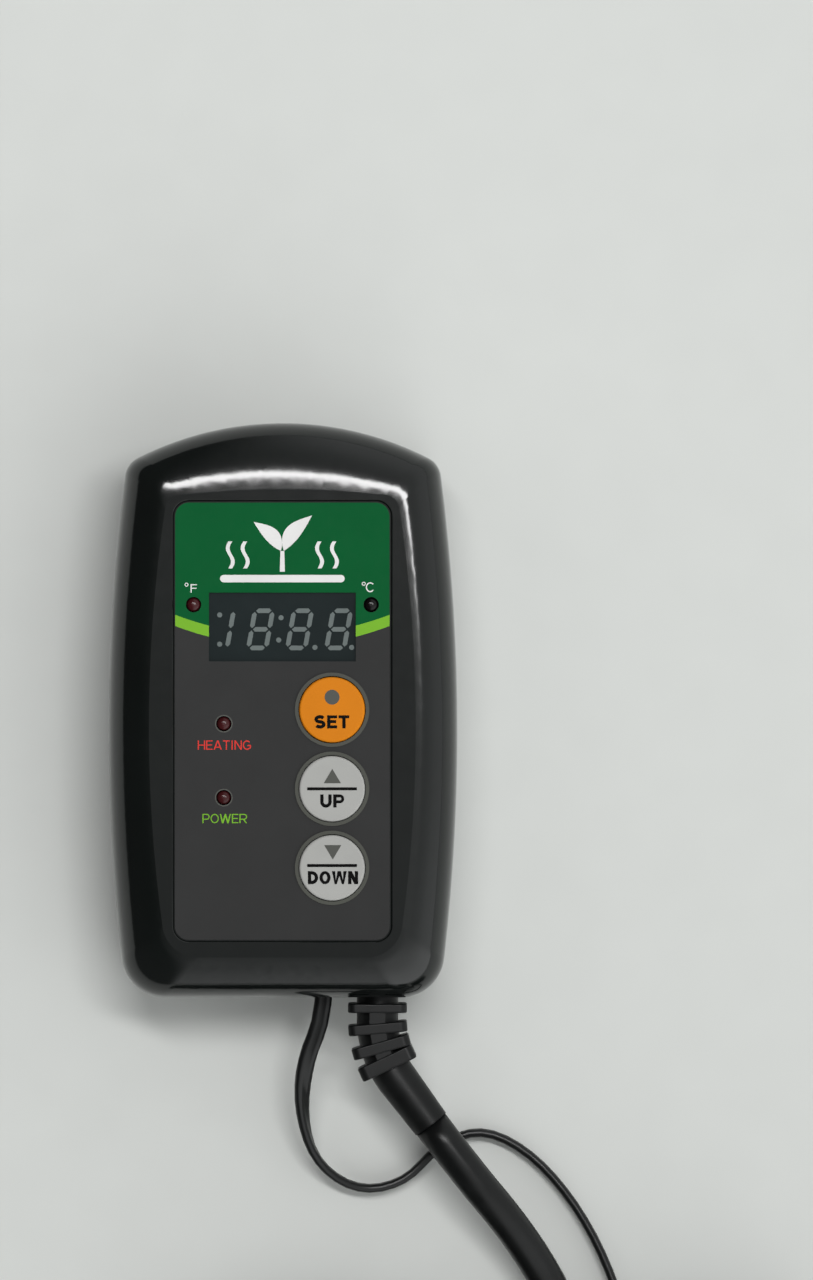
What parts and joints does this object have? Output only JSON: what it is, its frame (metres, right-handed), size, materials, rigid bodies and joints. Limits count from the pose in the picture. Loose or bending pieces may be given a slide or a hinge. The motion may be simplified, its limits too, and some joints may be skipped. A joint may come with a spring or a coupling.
{
  "type": "seedling heat mat thermostat",
  "caption": "Hand-sized temperature controller for a seedling heat mat: arched black casing with a printed front, digital display, lamps and press keys, on a power cord with a probe lead.",
  "frame": {"origin": "middle of the casing's flat back face, on the bench that it lies on", "axes": "+Z out of the front face, +Y towards the display end, +X to the right as the front is read"},
  "size_m": [0.1632, 0.3231, 0.0386],
  "materials": {
    "casing_black": "moulded gloss",
    "printed_film": "satin printed film",
    "ring_grey": "satin",
    "key_orange": "satin",
    "key_grey": "satin",
    "switch_black": "matt",
    "plunger_red": "satin",
    "board_green": "solder resist",
    "steel": "zinc plated",
    "display_slate": "satin",
    "segment_grey": "diffuse",
    "tin_plated": "tinned",
    "led_red": "clear dyed",
    "led_dark": "clear dyed",
    "chip_black": "moulded epoxy",
    "lamination": "varnished laminations",
    "winding_tape": "tape",
    "relay_blue": "moulded",
    "capacitor_yellow": "moulded",
    "capacitor_sleeve": "shrink sleeve",
    "fuse_glass": "clear",
    "varistor_blue": "dipped",
    "nylon_white": "moulded",
    "relief_vinyl": "moulded matt",
    "cord_vinyl": "extruded satin",
    "lead_vinyl": "extruded satin",
    "tie_nylon": "satin",
    "boot_sleeve": "shrink sleeve",
    "probe_epoxy": "moulded",
    "clamp_nylon": "moulded",
    "plug_vinyl": "moulded satin",
    "outlet_black": "moulded",
    "brass_leaf": "rolled",
    "nickel_brass": "nickel plated",
    "wire_black": "insulation",
    "wire_red": "insulation",
    "wire_white": "insulation"
  },
  "bodies": {
    "root": {"board_link_header": "tin_plated", "case_screws": "steel", "celsius_led": "led_dark", "display_board": "board_green", "display_board_screws": "steel", "display_pins": "tin_plated", "display_segments": "segment_grey", "down_switch": "switch_black", "electrolytic_capacitors": "capacitor_sleeve", "fahrenheit_led": "led_red", "film_capacitor": "capacitor_yellow", "front_cover": "casing_black", "fuse": "fuse_glass", "fuse_clips": "tin_plated", "heating_led": "led_red", "key_rings": "ring_grey", "lamp_legs": "tin_plated", "led_display": "display_slate", "line_wire": "wire_black", "mains_terminals": "tin_plated", "microcontroller": "chip_black", "neutral_wire": "wire_white", "outlet_contacts": "brass_leaf", "outlet_insert": "outlet_black", "overlay_label": "printed_film", "plug_body": "plug_vinyl", "plug_ground_pin": "nickel_brass", "plug_line_blade": "nickel_brass", "plug_neutral_blade": "nickel_brass", "plug_strain_relief": "plug_vinyl", "power_board": "board_green", "power_board_screws": "steel", "power_cord": "cord_vinyl", "power_cord_coil": "cord_vinyl", "power_cord_ties": "tie_nylon", "power_led": "led_red", "power_strain_relief": "relief_vinyl", "probe_boot": "boot_sleeve", "probe_connector": "nylon_white", "probe_lead": "lead_vinyl", "probe_lead_clamp": "clamp_nylon", "probe_lead_coil": "lead_vinyl", "probe_lead_ties": "tie_nylon", "probe_tip": "probe_epoxy", "probe_wires": "wire_white", "rear_cover": "casing_black", "rectifier_diodes": "chip_black", "relay": "relay_blue", "set_switch": "switch_black", "switched_wire": "wire_red", "transformer_core": "lamination", "transformer_winding": "winding_tape", "up_switch": "switch_black", "varistor": "varistor_blue"},
    "set_button": {"set_key": "key_orange", "set_switch_plunger": "plunger_red"},
    "up_button": {"up_key": "key_grey", "up_switch_plunger": "plunger_red"},
    "down_button": {"down_key": "key_grey", "down_switch_plunger": "plunger_red"}
  },
  "joints": [
    {"name": "set_press", "type": "slide", "parent": "root", "child": "set_button", "axis": [0, 0, -1], "range_m": [0, 0.0005], "stiffness_N_per_m": 3200},
    {"name": "up_press", "type": "slide", "parent": "root", "child": "up_button", "axis": [0, 0, -1], "range_m": [0, 0.0005], "stiffness_N_per_m": 3200},
    {"name": "down_press", "type": "slide", "parent": "root", "child": "down_button", "axis": [0, 0, -1], "range_m": [0, 0.0005], "stiffness_N_per_m": 3200}
  ]
}
